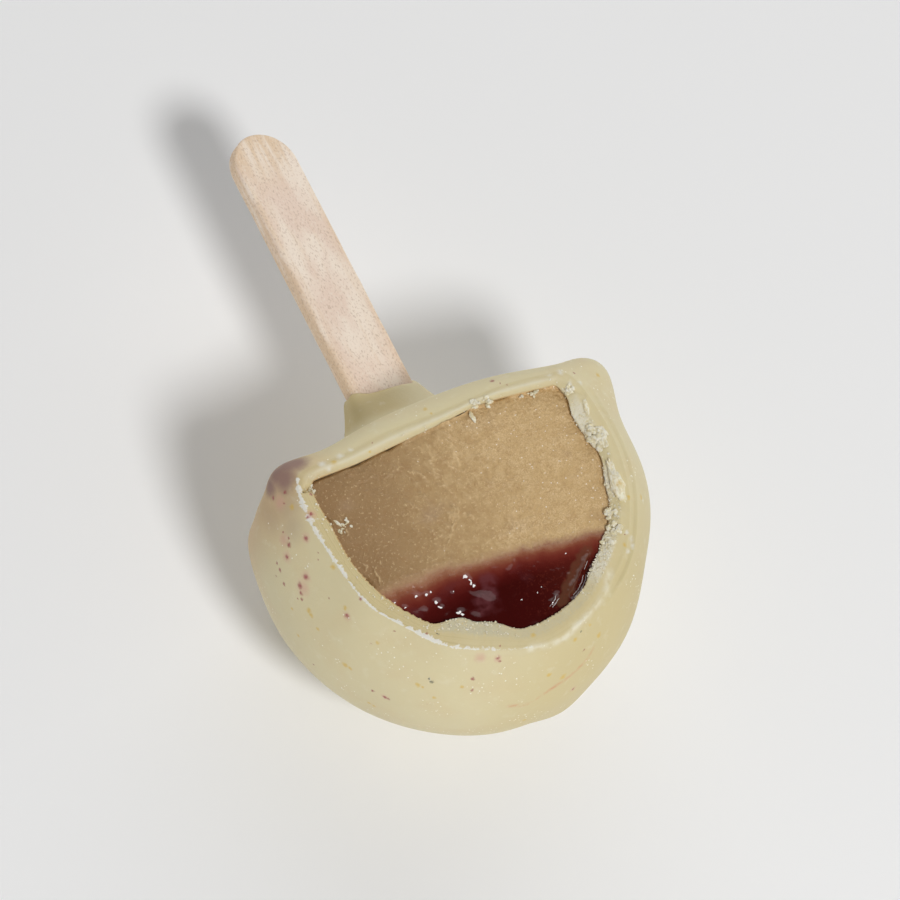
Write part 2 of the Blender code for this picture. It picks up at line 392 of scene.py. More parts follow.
def sauce_line(x):
    """How far along the stick the sauce ends and the ice cream begins."""
    return SAUCE_LEVEL + SAUCE_SLOPE * x + SAUCE_BOW * x * x


def on_level(across, down, level):
    """The place from the ball's middle where the camera sees a pixel at a level above it."""
    line = sight_line(across, down)
    place = eye + line * ((BALL_MIDDLE.z + level - eye.z) / line.z) - BALL_MIDDLE
    return place.x, place.y


def along_path(x, y, path):
    """How far places on the face are from a path of pixels, and how far along it they are, from 0 to 1."""
    spots = [on_level(*pixel, FACE_LEVEL) for pixel in path]
    best = np.full_like(x, 1.0)
    where = np.zeros_like(x)
    for count, ((ax, ay), (bx, by)) in enumerate(zip(spots, spots[1:])):
        length = (bx - ax) ** 2 + (by - ay) ** 2
        share = np.clip(((x - ax) * (bx - ax) + (y - ay) * (by - ay)) / length, 0.0, 1.0)
        away = np.hypot(x - ax - share * (bx - ax), y - ay - share * (by - ay))
        where = np.where(away < best, (count + share) / (len(path) - 1), where)
        best = np.minimum(away, best)
    return best, where


# What the blade left on the face: paths in pixels of the photograph, then width and height
CURLS = (
    (((459, 517), (454, 524), (451, 532), (450, 541), (446, 546)), 0.00013, 0.00024),
    (((372, 566), (378, 577), (381, 586)), 0.00017, 0.00026),
    (((362, 560), (367, 569)), 0.00020, 0.00018),
    (((344, 527), (349, 536)), 0.00022, 0.00016),
    (((425, 441), (430, 452), (432, 466), (437, 476)), 0.00030, 0.00016),
    (((446, 431), (452, 446), (457, 460), (461, 470)), 0.00030, 0.00015),
    (((466, 414), (473, 424), (477, 436)), 0.00028, 0.00015),
    (((445, 420), (452, 427)), 0.00025, 0.00022),
    (((436, 409), (444, 418), (449, 421)), 0.00025, 0.00020),
    (((484, 540), (500, 536), (516, 532), (530, 526), (541, 523)), 0.00040, 0.00016),
    (((516, 559), (513, 566), (508, 573)), 0.00026, 0.00014),
    (((455, 558), (440, 566), (425, 573), (412, 578)), 0.00045, 0.00010),
    (((517, 523), (521, 531), (519, 537)), 0.00018, 0.00014),
)
GROOVES = (
    (((594, 552), (589, 568), (582, 584), (572, 600)), 0.00050, -0.00045),
    (((588, 552), (583, 566), (577, 580), (567, 594)), 0.00030, 0.00034),
    (((600, 556), (595, 570), (588, 586), (578, 600)), 0.00026, 0.00034),
    (((557, 594), (552, 605)), 0.00030, 0.00034),
)
BEADS = ((466, 577), (470, 581), (474, 586), (437, 603), (441, 608), (460, 613), (394, 604), (405, 608),
         (417, 597), (427, 595), (482, 558), (510, 546), (571, 610), (452, 595), (424, 612))
BEAD_REACH = 0.00042
BEAD_HEIGHT = 0.00016
# Bright spots and lines where the wet sauce mirrors a lamp, painted on as reflections: pixels and widths
GLINT_SPOTS = (
    (465, 577, 4.5), (470, 581, 3.5), (474, 586, 4.5), (471, 583, 3), (436, 603, 4), (440, 608, 3),
    (459, 613, 5), (463, 615, 3), (394, 604, 3), (405, 608, 3), (416, 597, 2.5), (426, 595, 3),
    (431, 592, 2.5), (453, 592, 2), (566, 553, 2), (542, 587, 1.6), (521, 600, 1.6), (538, 592, 1.4),
)
GLINT_LINES = (
    ((587, 573), (586, 579), (582, 588), (575, 597)), ((584, 574), (583, 580), (579, 588), (574, 594)),
    ((556, 596), (554, 601), (550, 606)), ((559, 598), (556, 603), (553, 607)), ((588, 560), (585, 568)),
)
GLINT_SHARE = 0.48
GLINT_LINE_WIDTH = 0.00010
# A brown film of sugar that dried on the sauce, and a milky cloud in it: paths and half widths
FILM = (((588, 549), (577, 566), (570, 583), (563, 601)), 0.00080)
HAZE = (((488, 582), (488, 592), (480, 607)), 0.00130)

side_marks = np.linspace(-1, 1, FACE_CELLS + 1)
u, v = (grid.ravel() for grid in np.meshgrid(side_marks, side_marks, indexing="ij"))
disc_x, disc_y = u * np.sqrt(1 - v * v / 2), v * np.sqrt(1 - u * u / 2)
face_turns = np.arctan2(disc_y, disc_x)
table_turns = np.linspace(-math.pi, math.pi, 2400)


def face_gap(turns):
    """The gap between the filling and the coating: dark hairlines at the top and left, closed elsewhere."""
    open_side = soft_step(np.cos(turns - math.radians(130)), 0.0, 0.7)
    closed_side = soft_step(np.cos(turns + math.radians(20)), 0.1, 0.5)
    patchy = soft_step(waves(on_ring(turns), 0.11), -0.15, 0.35)
    return 0.00003 - 0.00015 * closed_side + 0.00017 * open_side * patchy


# Where the filling's face is wider than the coating's true inside, and where it shrank away from the
# coating: a pixel of its edge, by how much, and over what half width
BULGES = (((313, 490), 0.0014, 0.0036), ((490, 402), 0.0009, 0.0065))
SLITS = (((365, 583), 0.0009, 0.0017), ((329, 522), 0.0007, 0.0011))


def round_edge(turns, pixel, level):
    """How far round the edge turns are from the place that a pixel shows at a level."""
    x, y = on_level(*pixel, level)
    away = (turns - math.atan2(y - HEART, x) + math.pi) % (2 * math.pi) - math.pi
    return away * math.hypot(x, y - HEART)


def swelling(turns, places):
    """The sum of soft swellings at places on the edge, at turns counted from +X."""
    extra = np.zeros_like(turns)
    for pixel, more, half_width in places:
        extra += more * bell(round_edge(turns, pixel, FACE_LEVEL), half_width)
    return extra


def sideways(turns, level):
    """The filling's edge with its gap, looked up from a table of turns."""
    edge = filling_edge(table_turns, level, COATING) + swelling(table_turns, BULGES)
    edge = edge - swelling(table_turns, SLITS) - face_gap(table_turns)
    return np.interp(turns, table_turns, edge)


face_reach = np.hypot(disc_x, disc_y) * sideways(face_turns, FACE_LEVEL)
face_x = face_reach * np.cos(face_turns)
face_y = HEART + face_reach * np.sin(face_turns)
berry = sauce_line(face_x) - face_y
flat = np.stack((face_x, face_y, 0 * face_x), axis=1)
berry = berry + 0.0004 * waves(flat, 0.0035, 7.0) + 0.00025 * waves(flat, 0.0012, 8.0)
creamy = 1 - soft_step(berry, -0.0006, 0.0006)
leftward = soft_step(-face_x, 0.000, 0.013)
berry_tone = (berry + 0.0008 * leftward) * (1 - 0.35 * leftward)
slanted = np.stack((
    face_x * math.cos(RIDGE_SLANT) + face_y * math.sin(RIDGE_SLANT),
    face_y * math.cos(RIDGE_SLANT) - face_x * math.sin(RIDGE_SLANT),
    0 * face_x,
), axis=1)
torn = soft_step(waves(flat, 0.0075, 3.0), -0.35, 0.25)
grainy = soft_step(face_x + 0.004 * waves(flat, 0.006, 4.0), -0.002, 0.009)
ridges = np.maximum(waves(slanted, (0.0010, 0.0026), 1.0), -0.1)
crumb = waves(flat, 0.00042, 2.0) + 0.6 * waves(flat, 0.00085, 2.5)
dimples = waves(flat, 0.0032, 5.0)
scraped = soft_step(1 - np.hypot(face_x + 0.001, 0.8 * (face_y - 0.002)) / 0.013, 0.05, 0.60)
flaky = np.maximum(waves(slanted, (0.0007, 0.0019), 14.0), 0.0) ** 1.5
crumb_height = 0.00003 + 0.00004 * grainy + 0.00004 * torn
torn_height = 0.00016 * torn * ridges + 0.00044 * scraped * flaky + crumb_height * crumb
relief = 0.00012 * dimples + creamy * torn_height
relief += (1 - creamy) * 0.00016 * waves(flat, 0.0021, 6.0) * soft_step(-face_x, -0.004, 0.004)
relief += (1 - creamy) * 0.00003 * waves(flat, 0.0006, 9.0) * soft_step(face_x, -0.001, 0.004)
drawn = np.zeros_like(face_x)
fray_x, fray_y = 0.00022 * waves(flat, 0.0009, 10.0), 0.00022 * waves(flat, 0.0009, 11.0)
patchy = 0.75 + 0.7 * waves(flat, 0.0011, 12.0)
for strokes, evened in ((CURLS, 1.0), (GROOVES, np.maximum(patchy, 0.3))):
    for path, width, height in strokes:
        away, along = along_path(face_x + fray_x, face_y + fray_y, path)
        swell = bell(away, width) * np.sqrt(np.maximum(4 * along * (1 - along), 0.05)) * patchy
        relief += height * (swell / evened)
        drawn += max(height, 0.0) / 0.0003 * swell * creamy * patchy
for pixel in BEADS:
    x, y = on_level(*pixel, FACE_LEVEL)
    relief += BEAD_HEIGHT * bell(np.hypot(face_x - x, face_y - y), BEAD_REACH)
mirrored = np.zeros_like(face_x)
jag_x, jag_y = 0.00024 * waves(flat, 0.00036, 15.0), 0.00024 * waves(flat, 0.00036, 16.0)
for across, down, width in GLINT_SPOTS:
    x, y = on_level(across, down, FACE_LEVEL)
    away = np.hypot(face_x + jag_x - x, 1.25 * (face_y + jag_y - y))
    mirrored = np.maximum(mirrored, bell(away, width * GLINT_SHARE * PIXEL, 4))
for path in GLINT_LINES:
    away, _ = along_path(face_x + 0.3 * jag_x, face_y + 0.3 * jag_y, path)
    mirrored = np.maximum(mirrored, 0.6 * bell(away, GLINT_LINE_WIDTH))


def on_strip(path, half_width):
    """1 on a frayed strip of the face along a path of pixels, and 0 off it."""
    away, _ = along_path(face_x + 2 * fray_x, face_y + 2 * fray_y, path)
    return 1 - soft_step(away, 0.55 * half_width, 1.35 * half_width)


rim_fall = soft_step(np.hypot(disc_x, disc_y), 0.975, 1.0)
flush = soft_step(np.cos(face_turns - math.radians(45)), 0.0, 0.5)
flush = flush * (1 - 0.7 * soft_step(-np.cos(face_turns), 0.2, 0.6))
rim_fall = rim_fall * (1 - 2.4 * flush * soft_step(waves(flat, 0.004, 13.0), -0.45, 0.0))
face_z = SLICE_HEIGHT - SUNK * (1 + np.maximum(face_x, 0.0) / BALL_RADIUS) + relief - 0.00022 * rim_fall
# Painted light and shade on the relief: high places and the blade's curls are marked to be painted paler,
# partly as the whitish drag of the blade and partly as highlight, and low places to be painted browner as
# shade.
pale = np.clip(0.5 + relief * creamy / 0.0011 + 0.25 * drawn, 0.0, 1.0)
face_marks = {
    "berry": berry_tone, "pale": pale, "mirrored": mirrored, "film": on_strip(*FILM), "haze": on_strip(*HAZE),
}


def make_filling(name, node, is_sauce, finish):
    """A part of the filling: its worked face with walls under it, on the CAD node's own body cut lower."""
    body = bmesh.new()
    body.from_mesh(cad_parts[node].data)
    parts = body.verts[:] + body.edges[:] + body.faces[:]
    cut_at = BALL_MIDDLE + Vector((0, 0, SLICE_HEIGHT - BODY_DEPTH))
    bmesh.ops.bisect_plane(body, geom=parts, plane_co=cut_at, plane_no=(0, 0, 1), clear_outer=True)
    bmesh.ops.holes_fill(body, edges=[edge for edge in body.edges if edge.is_boundary])
    marks = {mark: body.verts.layers.float.new(mark) for mark in face_marks}
    for vert in body.verts:
        place = vert.co - BALL_MIDDLE
        vert[marks["berry"]] = sauce_line(place.x) - place.y
        vert[marks["pale"]] = 0.5
    made = {}
    tops = []
    side = FACE_CELLS + 1
    for i in range(FACE_CELLS):
        for j in range(FACE_CELLS):
            corners = (i * side + j, (i + 1) * side + j, (i + 1) * side + j + 1, i * side + j + 1)
            if (berry[list(corners)].mean() > 0) != is_sauce:
                continue
            for corner in corners:
                if corner not in made:
                    place = Vector((face_x[corner], face_y[corner], face_z[corner])) + BALL_MIDDLE
                    made[corner] = body.verts.new(place)
                    for mark, values in face_marks.items():
                        made[corner][marks[mark]] = values[corner]
            tops.append(body.faces.new([made[corner] for corner in corners]))
    rims = [edge for face in tops for edge in face.edges if edge.is_boundary]
    low = bmesh.ops.extrude_edge_only(body, edges=rims)["geom"]
    for vert in (part for part in low if isinstance(part, bmesh.types.BMVert)):
        vert.co.z = BALL_MIDDLE.z + SLICE_HEIGHT - LID_DEPTH
    bmesh.ops.edgeloop_fill(body, edges=[part for part in low if isinstance(part, bmesh.types.BMEdge)])
    mesh = bpy.data.meshes.new(name)
    body.to_mesh(mesh)
    body.free()
    mesh.materials.clear()
    mesh.materials.append(finish.made)
    mesh.polygons.foreach_set("material_index", [0] * len(mesh.polygons))
    mesh.shade_smooth()
    mesh.set_sharp_from_angle(angle=SHARP_OVER)
    made_object = added(name, mesh)
    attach(made_object, "root")
    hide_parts(node)


CREAM = tint(203, 171, 120)
CREAM_PAINTED_SHADE = tint(149, 117, 78)
CREAM_LIGHT = tint(222, 193, 147)
CREAM_BROWN = tint(150, 108, 62)
CREAM_LILAC = tint(164, 136, 108)
GLINT = tint(250, 240, 224)
LAMP_WHITE = tint(255, 252, 250)
# The sauce's colour by its depth into the sauce from the line where it begins
BERRY_REACH = 0.0045
BERRY_STOPS = (
    (0.0, tint(174, 138, 102)), (0.16, tint(152, 102, 74)), (0.32, tint(126, 62, 46)),
    (0.46, tint(108, 40, 31)), (0.60, tint(88, 23, 18)), (0.76, tint(74, 12, 9)), (1.0, tint(60, 5, 3)),
)
BERRY_HAZE = tint(104, 54, 58)
BERRY_FILM = tint(98, 66, 46)
BERRY_RUST = tint(122, 52, 38)
FACE_RELIEF = 0.00016


def filling_finish(name, shine):
    """Ice cream that turns to berry sauce over a short run, by the depth into the sauce."""
    finish = Finish(name, {"Specular IOR Level": shine})
    step = finish.step
    depth = finish.marked("berry") * 1000
    light = finish.marked("pale")
    across = finish.axis("X")
    clouds = finish.mottle(0.0055, 3.0)
    specks = finish.mottle(0.00042, 3.0)
    fine = finish.mottle(0.00018)
    flecks = finish.mottle(0.0011, 4.0, wander=0.6)
    dragged = step(flecks + light * 0.25, 0.60, 0.85) * step(across + clouds * 0.008, -0.009, 0.006)
    # Painted highlights: clusters of pale sparkle dots over the grainy right of the face.
    sparkle_dots = step(fine + specks * 0.5, 0.68, 0.95) * step(across + clouds * 0.006, -0.001, 0.010)
    sparkle_dots = sparkle_dots * step(finish.mottle(0.0024, 3.0), 0.34, 0.62)
    shade = step(1 - fine + specks * 0.3, 0.58, 0.80) * step(across, -0.004, 0.010)
    # Painted highlights: tiny glints of the ice crystals, more of them towards the right.
    glints = 1 - step(finish.cells(0.0008), 0.06, 0.14)
    glints = glints * step(flecks + across * 12.0, 0.50, 0.62)
    # Painted shade: the face is painted a darker brown towards its left, and its own cream towards its right.
    cream = finish.painted(
        CREAM_PAINTED_SHADE,
        (CREAM, step(across + clouds * 0.010, -0.016, 0.018)),
        (CREAM_LILAC, step(clouds, 0.55, 0.75) * 0.45),
        (CREAM_BROWN, step(1 - flecks, 0.48, 0.72) * 0.22),
        # painted shade in the low places of the relief
        (CREAM_BROWN, step(1 - light, 0.62, 0.95) * 0.4),
        (CREAM_LIGHT, dragged * 0.36),
        # painted highlight on the raised ridges, with their whitish drag
        (CREAM_LIGHT, step(light + specks * 0.8, 0.96, 1.30) * 0.6),
        (CREAM_LIGHT, step(specks + fine * 0.5, 0.84, 1.02) * 0.5),
        (CREAM_LIGHT, sparkle_dots * 0.75),
        (CREAM_BROWN, shade * 0.20),
        (GLINT, glints),
    )
    wander = depth + 0.5 + (specks - 0.5) * 0.35 + (clouds - 0.5) * 1.2
    deep = finish.node("ValToRGB", {"stops": BERRY_STOPS}, {"Fac": wander * (0.001 / BERRY_REACH)})
    haze = step(clouds + fine * 0.1, 0.60, 0.74) * step(wander, 1.4, 2.6)
    seeds = step(specks + fine * 0.6, 0.86, 1.0) * step(across, -0.004, 0.004)
    deep = finish.painted(
        deep,
        (BERRY_HAZE, haze * 0.3),
        (BERRY_HAZE, finish.marked("haze") * step(finish.mottle(0.0018), 0.30, 0.55) * 0.6),
        (BERRY_FILM, finish.marked("film") * 0.65),
        (BERRY_RUST, step(across, 0.0, 0.014) * 0.30 + seeds * 0.22),
    )
    # painted reflections of the lamp on the wet sauce
    lamp = step(finish.marked("mirrored"), 0.35, 0.75)
    mixed = finish.painted(cream, (deep, step(wander, -0.9, 0.5)), (LAMP_WHITE, lamp))
    wet = step(wander, 0.2, 1.6)
    rough = 0.36 + fine * 0.24 - wet * 0.40 - glints * (1 - wet) * 0.35
    height = (specks * 0.6 + fine * 0.4) * (1 - wet * 0.95)
    finish.wear({"Base Color": mixed, "Roughness": rough, "Normal": finish.bump(height, FACE_RELIEF)})
    return finish


make_filling("ice_cream_scoop", "ice_cream", False, filling_finish("caramel_ice_cream", 0.4))
make_filling("sauce_layer", "berry_sauce", True, filling_finish("set_berry_sauce", 0.5))


# The coating is a thick dip of white chocolate with berry and peel crumbs in it. It ran over the ball's rim,
# drew up the stick as a collar, and set in a few lumps, and the knife left its edge chalky and layered.
TOP_HEIGHT = 0.0156
TOP_DOME = 0.0053
LIP_FALL = 0.0023
LIP_REACH = 0.0030
LIP_END = 1.3
COLLAR_HEIGHT = 0.0064
COLLAR_LIP = 0.0008
COLLAR_SPREAD = 0.0048
COLLAR_STEEPNESS = 1.8
COLLAR_SQUARENESS = 0.6
COLLAR_DIP = 0.15
COLLAR_DIP_TURN = math.radians(15)
COLLAR_RIPPLE = 0.02
WAVINESS = 0.00035
WAVE_LENGTH = 0.0110
# Degrees round the stick from straight up towards +X, then metres out, along, height and reach
LUMPS = (
    (72, 0.0258, 0.0092, 0.0033, 0.0050),
    (-60, 0.0223, 0.0123, 0.0028, 0.0036),
    (-97, 0.0255, 0.0085, 0.0002, 0.0055),
    (-73, 0.0252, 0.0104, 0.0009, 0.0042),
    (-53, 0.0268, -0.0030, -0.0006, 0.0070),
    (-47, 0.0234, -0.0150, -0.0008, 0.0055),
    (-24, 0.0185, -0.0212, -0.0004, 0.0050),
    (76, 0.0266, -0.0050, 0.0006, 0.0090),
    (88, 0.0204, -0.0192, -0.0005, 0.0080),
    (153, 0.0100, -0.0270, 0.0011, 0.0045),
    (-140, 0.0133, -0.0255, -0.0004, 0.0060),
    (-110, 0.0268, -0.0033, 0.0003, 0.0070),
    (128, 0.0255, 0.0090, 0.0009, 0.0060),
    (-146, 0.0258, 0.0080, 0.0008, 0.0065),
    (180, 0.0262, -0.0070, 0.0006, 0.0080),
)
COLUMNS = 840
SKIN_ROWS = 146
FINE_ROWS = 6
CUT_ROWS = 14
WALL_ROWS = 6
HOLLOW_ROWS = 12
FINE_SHARE = 0.975
WALL_DEPTH = 0.0032
PEELED = 0.0004
LOWEST_RISE = 0.2
HIGHEST_RISE = 1.1


def coating_top(x, z):
    """The coating's domed top, which rounds over like a lip where the slice comes near."""
    lip = np.clip((z - SLICE_HEIGHT + LIP_REACH) / LIP_REACH, 0.0, LIP_END)
    fall = LIP_FALL * (1 - (x / BALL_RADIUS) ** 2) * lip * lip
    return TOP_HEIGHT - TOP_DOME * (x * x + z * z) / BALL_RADIUS**2 - fall


def collar_clear(x, z):
    """How far out from the stick places are, measured in rounded oblongs, and the turn round it."""
    across = x * math.cos(STICK_ROLL) - z * math.sin(STICK_ROLL)
    up = x * math.sin(STICK_ROLL) + z * math.cos(STICK_ROLL)
    low, high = np.full_like(x, 0.0), np.full_like(x, BALL_RADIUS)
    for _ in range(HALVINGS):
        clear = (low + high) / 2
        wide, tall = np.abs(across) / (STICK_WIDTH / 2 + clear), np.abs(up) / (STICK_THICKNESS / 2 + clear)
        beyond = wide ** (2 / COLLAR_SQUARENESS) + tall ** (2 / COLLAR_SQUARENESS) > 1
        low, high = np.where(beyond, clear, low), np.where(beyond, high, clear)
    sine = np.sign(across) * wide ** (1 / COLLAR_SQUARENESS)
    cosine = np.sign(up) * tall ** (1 / COLLAR_SQUARENESS)
    return clear, np.arctan2(sine, cosine)


def collar_rise(x, y, z):
    """How far the collar stands above the coating's top, and how much of the top's waviness is left."""
    rise, left = np.zeros_like(x), np.ones_like(x)
    near = (y > TOP_HEIGHT / 2) & (np.hypot(x, z) < STICK_WIDTH / 2 + 2 * COLLAR_SPREAD)
    clear, turn = collar_clear(x[near], z[near])
    share = np.clip((COLLAR_SPREAD - clear) / (COLLAR_SPREAD - COLLAR_LIP), 0.0, 2.0)
    dip = COLLAR_DIP * np.maximum(np.cos(turn - COLLAR_DIP_TURN), 0.0) ** 2
    ragged = 1 - dip + COLLAR_RIPPLE * np.sin(5 * turn)
    rise[near] = COLLAR_HEIGHT * soft_least(share**COLLAR_STEEPNESS, 1.02, 0.16) * ragged
    left[near] = soft_step(clear, COLLAR_SPREAD / 2, 1.4 * COLLAR_SPREAD)
    return rise, left


def in_coating(x, y, z):
    """Whether places from the ball's middle lie inside the smooth coating, its collar counted in."""
    spread = (x * x + z * z) / BALL_RADIUS**2
    side = BALL_HALF_LENGTH * np.sqrt(np.maximum(1 - spread, 0.0))
    top = soft_least(side, coating_top(x, z), RIM_ROUNDING) + collar_rise(x, y, z)[0]
    return (spread < 1) & (y > -side) & (y < top)


def unevenness(places):
    """How far the coating stands proud of a true ball, from its lumps and its waviness."""
    proud = WAVINESS * waves(places, WAVE_LENGTH)
    for degrees, out, along, height, reach in LUMPS:
        angle = math.radians(degrees)
        top = np.array((out * math.sin(angle), along, out * math.cos(angle)))
        proud += height * bell(np.linalg.norm(places - top, axis=1), reach)
    return proud


def skin(turns, rises):
    """The coating's outside, seen from the heart at turns from +X and at rises from level."""
    sight = np.stack((np.cos(turns) * np.cos(rises), np.sin(turns) * np.cos(rises), np.sin(rises)), axis=1)

    def within(reach):
        x, y, z = (sight * reach[:, None]).T
        return in_coating(x, y + HEART, z)

    reach = last_within(np.zeros_like(turns), np.full_like(turns, 2 * BALL_RADIUS), within)
    places = sight * reach[:, None] + (0.0, HEART, 0.0)
    left = collar_rise(*places.T)[1]
    out = places / np.linalg.norm(places, axis=1)[:, None]
    return places + out * (unevenness(places) * left)[:, None]


def around(turns, middle, reach, soft=12):
    """1 within a reach of a middle turn, in degrees, and 0 well away from it."""
    away = np.abs((np.degrees(turns) - middle + 180) % 360 - 180)
    return 1 - soft_step(away, reach - soft, reach + soft)


columns = np.linspace(0, 2 * math.pi, COLUMNS, endpoint=False)


def under_slice(rises):
    return skin(columns, rises)[:, 2] < SLICE_HEIGHT


slice_rise = last_within(np.full_like(columns, LOWEST_RISE), np.full_like(columns, HIGHEST_RISE), under_slice)
edge = skin(columns, slice_rise)

# The zones of the cut edge: crisp and chalky at the left, frosted below, waxy and sloping at the right,
# and rounded like a lip along the top
circle = on_ring(columns)
left_zone = around(columns, 192, 46, 14)
low_zone = around(columns, 268, 36, 14)
right_zone = around(columns, 345, 42, 12)
top_zone = around(columns, 90, 56, 8)
worn = 0.00010 + 0.00014 * low_zone + 0.00055 * right_zone + 0.00012 * top_zone
fall = 0.00006 + 0.00030 * low_zone + 0.00060 * right_zone + 0.00035 * top_zone
fall_start = 0.5 - 0.2 * low_zone - 0.1 * right_zone + 0.1 * top_zone
ragged = 0.6 * waves(circle, 0.016, 1.0) + 0.4 * waves(circle, 0.006, 2.0)
true_inner = filling_edge(columns, SLICE_HEIGHT, COATING)
inner = true_inner + swelling(columns, BULGES) - 0.00012 * right_zone
inner = inner + 0.00028 * ragged * (left_zone + 0.7 * low_zone + 0.5 * right_zone)

# Tongues of the coating that the blade pushed in over the filling: a pixel of each, its reach and its
# half width
TONGUES = (
    ((478, 632), 0.0017, 0.0046), ((455, 630), 0.0004, 0.0020), ((587, 412), 0.0010, 0.0026),
    ((594, 438), 0.0006, 0.0012), ((608, 480), 0.0003, 0.0020), ((606, 560), 0.0005, 0.0040),
)
frosty = np.zeros_like(columns)
for pixel, reach, half_width in TONGUES:
    tongue = bell(round_edge(columns, pixel, SLICE_HEIGHT), half_width, 4)
    inner = inner - reach * tongue * (1 + 0.25 * ragged)
    frosty = np.maximum(frosty, tongue)

# The chalky white line of the blade's entry: pixels along it, and its width there in metres
CHALK_LINE = (
    ((318, 480), 0.0), ((296, 484), 0.0009), ((300, 500), 0.0010), ((308, 520), 0.0008), ((318, 543), 0.0006),
    ((333, 568), 0.0004), ((345, 587), 0.0004), ((362, 608), 0.0003), ((384, 625), 0.00025),
    ((408, 636), 0.0005), ((440, 641), 0.0005), ((475, 647), 0.0006), ((515, 648), 0.0004), ((548, 641), 0.0),
)
chalk_spots = [Vector(on_level(*pixel, SLICE_HEIGHT)) - Vector((0.0, HEART)) for pixel, _ in CHALK_LINE]
chalk_turns = [math.atan2(place.y, place.x) % (2 * math.pi) for place in chalk_spots]
chalk_width = np.interp(columns, chalk_turns, [width for _, width in CHALK_LINE], left=0, right=0)
chalk_width = chalk_width * (0.8 + 0.9 * waves(circle, 0.05, 3.0) + 0.9 * ragged)
chalk_width = np.maximum(chalk_width, 0.00002)
chalky = soft_step(chalk_width, 0.00003, 0.00016) * (1 - 0.45 * low_zone * (1 - left_zone))


def softened(places, away):
    """Places near the cut's outer edge, drawn in to round it as the blade and warm hands did."""
    inward = places / np.linalg.norm(places, axis=1)[:, None] + (0.0, 0.0, 1.0)
    inward /= np.linalg.norm(inward, axis=1)[:, None]
    return places - inward * (worn * bell(away, 2.2 * worn + 0.0002))[:, None]


# Chips out of the cut edge: pixel, reach and depth
DENTS = (
    ((309, 488), 0.0004, 0.0013), ((304, 490), 0.0003, 0.0010), ((316, 486), 0.0005, 0.0006),
    ((352, 521), 0.0005, 0.0004), ((583, 437), 0.0006, 0.0009), ((565, 390), 0.0004, 0.0003),
    ((570, 391), 0.0004, 0.0003), ((575, 391), 0.0004, 0.0003), ((580, 392), 0.0004, 0.0003),
    ((585, 393), 0.0004, 0.0002),
)

rows = []


def add_row(places, **given):
    """A ring of the coating's points, with the marks that its finish reads, each 0 where it isn't given."""
    marks = {}
    for mark in ("cut", "across", "chalk", "frost", "layered", "crest"):
        marks[mark] = np.zeros(len(places)) + given.get(mark, 0.0)
    marks["unseen"] = soft_step(-(places @ np.array(SIGHT_BACK)) / BALL_RADIUS, -0.05, 0.3)
    rows.append((places, marks))


half = columns[::2]
for i in range(1, SKIN_ROWS + 1):
    share = FINE_SHARE * i / SKIN_ROWS
    add_row(skin(half, -math.pi / 2 + (slice_rise[::2] + math.pi / 2) * share))
for i in range(1, FINE_ROWS + 1):
    share = FINE_SHARE + (1 - FINE_SHARE) * i / FINE_ROWS
    rises = -math.pi / 2 + (slice_rise + math.pi / 2) * share
    away = (slice_rise - rises) * BALL_RADIUS
    chalk = chalky * bell(away, 0.5 * chalk_width)
    add_row(softened(skin(columns, rises), away), cut=i == FINE_ROWS, chalk=chalk)
edge_reach = np.hypot(edge[:, 0], edge[:, 1] - HEART)
for i in range(1, CUT_ROWS + 1):
    share = i / CUT_ROWS
    reach = edge_reach + (inner - edge_reach) * share
    drop = fall * soft_step(share, fall_start, 1.05)
    places = on_ring(columns, reach, SLICE_HEIGHT - drop, HEART)
    away = share * (edge_reach - inner)
    chalk = chalky * bell(away, chalk_width)
    frost = np.maximum(frosty, 0.5 * low_zone) * soft_step(share + 0.12 * ragged, 0.40, 0.62)
    lines = 0.00003 * left_zone * math.sin(share * 26.0) * (1 + waves(circle, 0.3, 5.0))
    grit = waves(places, 0.0005, 6.0) * (0.00003 + 0.00005 * frost + 0.00006 * chalk)
    ridge = 0.00010 * chalk * (1 + ragged)
    roll = 0.00022 * (top_zone + 0.5 * right_zone) * (4 * share * (1 - share) - 0.3)
    places[:, 2] += lines + grit + ridge + roll + 0.00008 * waves(places, 0.0022, 7.0)
    for pixel, dent_reach, depth in DENTS:
        x, y = on_level(*pixel, SLICE_HEIGHT)
        places[:, 2] -= depth * bell(np.hypot(places[:, 0] - x, places[:, 1] - y), dent_reach)
    # Painted highlight: the middle of the rolled top band is marked to be painted paler, as the broad
    # highlight along the roll.
    crest = top_zone * max(1 - abs(share - 0.55) / 0.4, 0.0)
    layered = np.maximum(left_zone, 0.4 * low_zone)
    add_row(
        softened(places, away), cut=1.0, across=share, chalk=chalk, frost=frost, layered=layered, crest=crest
    )
last_level = rows[-1][0][:, 2]
for i in range(1, WALL_ROWS + 1):
    level = last_level + (SLICE_HEIGHT - WALL_DEPTH - last_level) * (i / WALL_ROWS)
    held = 1 - soft_step(i / WALL_ROWS, 0.45, 1.0)
    reach = filling_edge(columns, level, COATING) + (inner - true_inner) * held
    add_row(on_ring(columns, reach, level, HEART), cut=1.0, across=1.0)
top, bottom = SLICE_HEIGHT - WALL_DEPTH, -(BALL_RADIUS - COATING) + PEELED
middle = (top + bottom) / 2
for i in range(1, HOLLOW_ROWS + 1):
    ring = columns[::2] if i == 1 else columns[::4]
    level = middle + (top - middle) * math.cos(math.pi * i / (HOLLOW_ROWS + 1))
    add_row(on_ring(ring, filling_edge(ring, level, COATING), level, HEART), cut=1.0, across=1.0)

